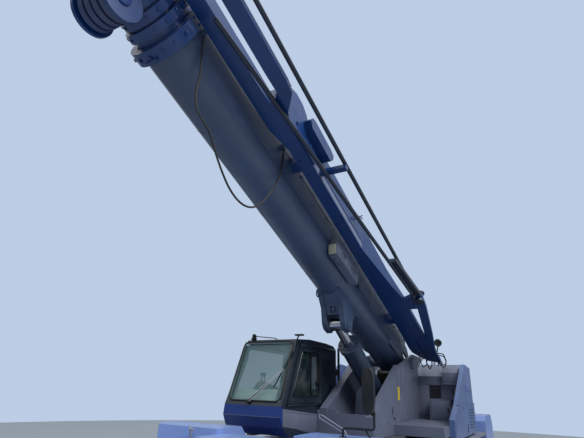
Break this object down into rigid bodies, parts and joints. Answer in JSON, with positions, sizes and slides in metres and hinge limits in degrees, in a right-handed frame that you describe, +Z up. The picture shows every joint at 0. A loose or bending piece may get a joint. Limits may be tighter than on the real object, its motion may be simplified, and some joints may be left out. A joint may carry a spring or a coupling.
{
  "type": "mobile crane",
  "caption": "Rough-terrain mobile crane with a raised telescopic boom, stowed side jib, slewing cab and turntable, steerable axles and outriggers.",
  "frame": {"origin": "centre of the bounding box on the ground, between the wheels", "axes": "+X forward, +Y to the left of the machine, +Z up"},
  "size_m": [10.4161, 2.84, 6.3701],
  "materials": {
    "lavender": "satin",
    "navy": "gloss",
    "hose_black": "satin",
    "cab_blue": "gloss",
    "cab_plastic": "matte",
    "cab_black": "gloss",
    "cab_pane": "polished",
    "frame_grey": "satin",
    "deck_grey": "matte",
    "engine_iron": "matte",
    "fender_blue": "gloss",
    "axle_black": "satin",
    "rim_paint": "satin",
    "tyre": "satin",
    "sheave_plastic": "satin",
    "rod_navy": "satin",
    "spring_steel": "satin",
    "ram_grey": "satin",
    "chrome_rod": "polished",
    "mirror_black": "satin",
    "stay_grey": "satin",
    "bare_steel": "satin",
    "seat_cloth": "matte",
    "cover_blue": "gloss",
    "winch_steel": "satin"
  },
  "bodies": {
    "carrier": {"chassis_frame": "frame_grey", "slewing_ring": "frame_grey", "deck": "deck_grey", "front_fenders": "fender_blue", "side_boxes": "fender_blue", "engine_hood": "fender_blue", "engine_block": "engine_iron", "front_axle": "axle_black", "rear_axle": "axle_black", "mirror": "mirror_black", "front_locker": "fender_blue", "leaf_springs": "spring_steel"},
    "turntable": {"turntable_frame": "lavender", "side_plate_left": "lavender", "side_plate_right": "lavender", "counterweight": "lavender", "side_covers": "cover_blue", "winch": "winch_steel", "cab_body": "cab_blue", "cab_frame": "cab_black", "cab_glass": "cab_pane", "seat": "seat_cloth", "cab_controls": "cab_plastic"},
    "cab_door": {"cab_door": "cab_black", "door_glass": "cab_pane"},
    "boom_base": {"boom_base": "lavender", "boom_collar": "navy", "boom_hose": "hose_black", "boom_side_box": "lavender", "jib": "navy", "jib_strut": "navy", "jib_rods": "rod_navy"},
    "boom_section_2": {"boom_section_2": "navy"},
    "boom_section_3": {"boom_section_3": "navy"},
    "boom_section_4": {"boom_section_4": "navy"},
    "boom_section_5": {"boom_section_5": "navy", "head_sheaves": "sheave_plastic"},
    "lift_cylinder": {"lift_cylinder": "ram_grey"},
    "lift_rod": {"lift_rod": "chrome_rod"},
    "front_left_knuckle": {"front_left_knuckle": "axle_black"},
    "front_left_wheel": {"front_left_tyre": "tyre", "front_left_rim": "rim_paint"},
    "outrigger_beam_front_left": {"outrigger_beam_front_left": "stay_grey"},
    "outrigger_float_front_left": {"outrigger_float_front_left": "bare_steel"},
    "front_right_knuckle": {"front_right_knuckle": "axle_black"},
    "front_right_wheel": {"front_right_tyre": "tyre", "front_right_rim": "rim_paint"},
    "outrigger_beam_front_right": {"outrigger_beam_front_right": "stay_grey"},
    "outrigger_float_front_right": {"outrigger_float_front_right": "bare_steel"},
    "rear_left_knuckle": {"rear_left_knuckle": "axle_black"},
    "rear_left_wheel": {"rear_left_tyre": "tyre", "rear_left_rim": "rim_paint"},
    "outrigger_beam_rear_left": {"outrigger_beam_rear_left": "stay_grey"},
    "outrigger_float_rear_left": {"outrigger_float_rear_left": "bare_steel"},
    "rear_right_knuckle": {"rear_right_knuckle": "axle_black"},
    "rear_right_wheel": {"rear_right_tyre": "tyre", "rear_right_rim": "rim_paint"},
    "outrigger_beam_rear_right": {"outrigger_beam_rear_right": "stay_grey"},
    "outrigger_float_rear_right": {"outrigger_float_rear_right": "bare_steel"}
  },
  "joints": [
    {"name": "slew", "type": "hinge", "parent": "carrier", "child": "turntable", "pos_m": [-1.27571, 0, 1.6975], "axis": [0, 0, 1], "continuous": true},
    {"name": "boom_lift", "type": "hinge", "parent": "turntable", "child": "boom_base", "pos_m": [-2.53571, 0.04, 2.86], "axis": [0, -1, 0], "range_deg": [-21.5, 57.5]},
    {"name": "boom_slide_2", "type": "slide", "parent": "boom_base", "child": "boom_section_2", "axis": [0.9239, 0, 0.3827], "range_m": [0, 5.4]},
    {"name": "boom_slide_3", "type": "slide", "parent": "boom_section_2", "child": "boom_section_3", "axis": [0.9239, 0, 0.3827], "range_m": [0, 5.4]},
    {"name": "boom_slide_4", "type": "slide", "parent": "boom_section_3", "child": "boom_section_4", "axis": [0.9239, 0, 0.3827], "range_m": [0, 5.4]},
    {"name": "boom_slide_5", "type": "slide", "parent": "boom_section_4", "child": "boom_section_5", "axis": [0.9239, 0, 0.3827], "range_m": [0, 5.4]},
    {"name": "lift_cylinder_swing", "type": "hinge", "parent": "turntable", "child": "lift_cylinder", "pos_m": [-2.17571, 0.04, 1.98], "axis": [0, -1, 0], "range_deg": [-19, 50]},
    {"name": "lift_rod_slide", "type": "slide", "parent": "lift_cylinder", "child": "lift_rod", "axis": [0.848, 0, 0.53], "range_m": [-0.29, 0.77]},
    {"name": "cab_door_slide", "type": "slide", "parent": "turntable", "child": "cab_door", "axis": [-1, 0, 0], "range_m": [0, 0.62]},
    {"name": "front_left_steer", "type": "hinge", "parent": "carrier", "child": "front_left_knuckle", "pos_m": [0.87428, 0.8, 0.75], "axis": [0, 0, 1], "range_deg": [-30, 30]},
    {"name": "front_left_spin", "type": "hinge", "parent": "front_left_knuckle", "child": "front_left_wheel", "pos_m": [0.87428, 1.1, 0.75], "axis": [0, 1, 0], "continuous": true},
    {"name": "outrigger_beam_front_left_slide", "type": "slide", "parent": "carrier", "child": "outrigger_beam_front_left", "axis": [0, 1, 0], "range_m": [0, 1.6]},
    {"name": "outrigger_jack_front_left_slide", "type": "slide", "parent": "outrigger_beam_front_left", "child": "outrigger_float_front_left", "axis": [0, 0, -1], "range_m": [0, 0.5]},
    {"name": "front_right_steer", "type": "hinge", "parent": "carrier", "child": "front_right_knuckle", "pos_m": [0.87428, -0.8, 0.75], "axis": [0, 0, 1], "range_deg": [-30, 30]},
    {"name": "front_right_spin", "type": "hinge", "parent": "front_right_knuckle", "child": "front_right_wheel", "pos_m": [0.87428, -1.1, 0.75], "axis": [0, 1, 0], "continuous": true},
    {"name": "outrigger_beam_front_right_slide", "type": "slide", "parent": "carrier", "child": "outrigger_beam_front_right", "axis": [0, -1, 0], "range_m": [0, 1.6]},
    {"name": "outrigger_jack_front_right_slide", "type": "slide", "parent": "outrigger_beam_front_right", "child": "outrigger_float_front_right", "axis": [0, 0, -1], "range_m": [0, 0.5]},
    {"name": "rear_left_steer", "type": "hinge", "parent": "carrier", "child": "rear_left_knuckle", "pos_m": [-3.32571, 0.8, 0.75], "axis": [0, 0, 1], "range_deg": [-30, 30]},
    {"name": "rear_left_spin", "type": "hinge", "parent": "rear_left_knuckle", "child": "rear_left_wheel", "pos_m": [-3.32571, 1.1, 0.75], "axis": [0, 1, 0], "continuous": true},
    {"name": "outrigger_beam_rear_left_slide", "type": "slide", "parent": "carrier", "child": "outrigger_beam_rear_left", "axis": [0, 1, 0], "range_m": [0, 1.6]},
    {"name": "outrigger_jack_rear_left_slide", "type": "slide", "parent": "outrigger_beam_rear_left", "child": "outrigger_float_rear_left", "axis": [0, 0, -1], "range_m": [0, 0.5]},
    {"name": "rear_right_steer", "type": "hinge", "parent": "carrier", "child": "rear_right_knuckle", "pos_m": [-3.32571, -0.8, 0.75], "axis": [0, 0, 1], "range_deg": [-30, 30]},
    {"name": "rear_right_spin", "type": "hinge", "parent": "rear_right_knuckle", "child": "rear_right_wheel", "pos_m": [-3.32571, -1.1, 0.75], "axis": [0, 1, 0], "continuous": true},
    {"name": "outrigger_beam_rear_right_slide", "type": "slide", "parent": "carrier", "child": "outrigger_beam_rear_right", "axis": [0, -1, 0], "range_m": [0, 1.6]},
    {"name": "outrigger_jack_rear_right_slide", "type": "slide", "parent": "outrigger_beam_rear_right", "child": "outrigger_float_rear_right", "axis": [0, 0, -1], "range_m": [0, 0.5]}
  ],
  "couplings": [
    {"joint": "front_right_steer", "follows": "front_left_steer", "ratio": 1},
    {"joint": "rear_right_steer", "follows": "rear_left_steer", "ratio": 1},
    {"joint": "boom_slide_3", "follows": "boom_slide_2", "ratio": 1},
    {"joint": "boom_slide_4", "follows": "boom_slide_2", "ratio": 1},
    {"joint": "boom_slide_5", "follows": "boom_slide_2", "ratio": 1},
    {"joint": "lift_cylinder_swing", "follows": "boom_lift", "ratio": 0.86},
    {"joint": "lift_rod_slide", "follows": "boom_lift", "m_per_rad": 0.7633}
  ]
}
